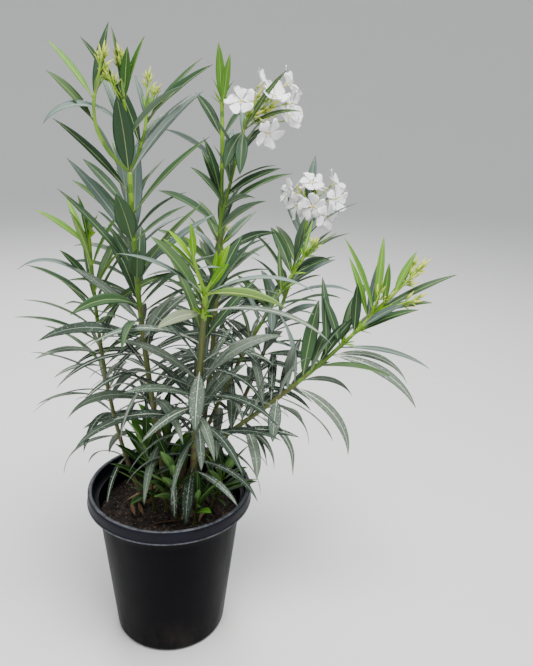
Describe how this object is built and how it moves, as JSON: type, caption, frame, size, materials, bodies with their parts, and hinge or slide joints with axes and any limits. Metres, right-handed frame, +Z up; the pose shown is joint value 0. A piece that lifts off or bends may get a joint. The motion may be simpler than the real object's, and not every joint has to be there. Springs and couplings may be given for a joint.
{
  "type": "potted oleander",
  "caption": "Oleander shrub in a round black nursery pot: slim leafy canes, bud clusters and white blossom.",
  "frame": {"origin": "middle of the pot's flat underside, on the ground", "axes": "+Z up; +X to the right and +Y away in the front view, where the leaning cane reaches out to +X"},
  "size_m": [0.7432, 0.5779, 1.0917],
  "materials": {
    "pot_plastic": "black moulded plastic, dusty, with a slight sheen",
    "potting_mix": "dark crumbly bark mix with pale specks",
    "cane_bark": "brown-grey bark with leaf scars, turning olive",
    "leaves": "leathery, with a pale midrib and a dusting of dried spray",
    "young_leaves": "fresh yellow-green, slightly glossy",
    "buds": "cream and yellow-green, smooth",
    "petals": "soft white with a yellow throat"
  },
  "bodies": {
    "root": {"blossom_back_right": "petals", "blossom_tall_back": "petals", "buds_back": "buds", "buds_back_left": "buds", "buds_leaning": "buds", "buds_right": "buds", "buds_tall_left_inner": "buds", "buds_tall_left_middle": "buds", "buds_tall_left_outer": "buds", "foliage_back_left_lower": "leaves", "foliage_back_left_upper": "leaves", "foliage_back_lower": "leaves", "foliage_back_right_lower": "leaves", "foliage_back_right_upper": "leaves", "foliage_back_upper": "leaves", "foliage_basal_back": "young_leaves", "foliage_basal_front": "young_leaves", "foliage_basal_left": "young_leaves", "foliage_basal_right": "young_leaves", "foliage_front_left": "young_leaves", "foliage_front_lower": "leaves", "foliage_front_right": "young_leaves", "foliage_front_upper": "leaves", "foliage_leaning_lower": "leaves", "foliage_leaning_upper": "leaves", "foliage_left_lower": "leaves", "foliage_left_upper": "leaves", "foliage_right_lower": "leaves", "foliage_right_upper": "leaves", "foliage_tall_back_lower": "leaves", "foliage_tall_back_side": "leaves", "foliage_tall_back_upper": "leaves", "foliage_tall_left_inner": "leaves", "foliage_tall_left_lower": "leaves", "foliage_tall_left_middle": "leaves", "foliage_tall_left_outer": "leaves", "foliage_tall_left_upper": "leaves", "pot": "pot_plastic", "potting_mix": "potting_mix", "stem_back": "cane_bark", "stem_back_left": "cane_bark", "stem_back_right": "cane_bark", "stem_front": "cane_bark", "stem_leaning": "cane_bark", "stem_left": "cane_bark", "stem_right": "cane_bark", "stem_tall_back": "cane_bark", "stem_tall_left": "cane_bark"}
  },
  "joints": []
}
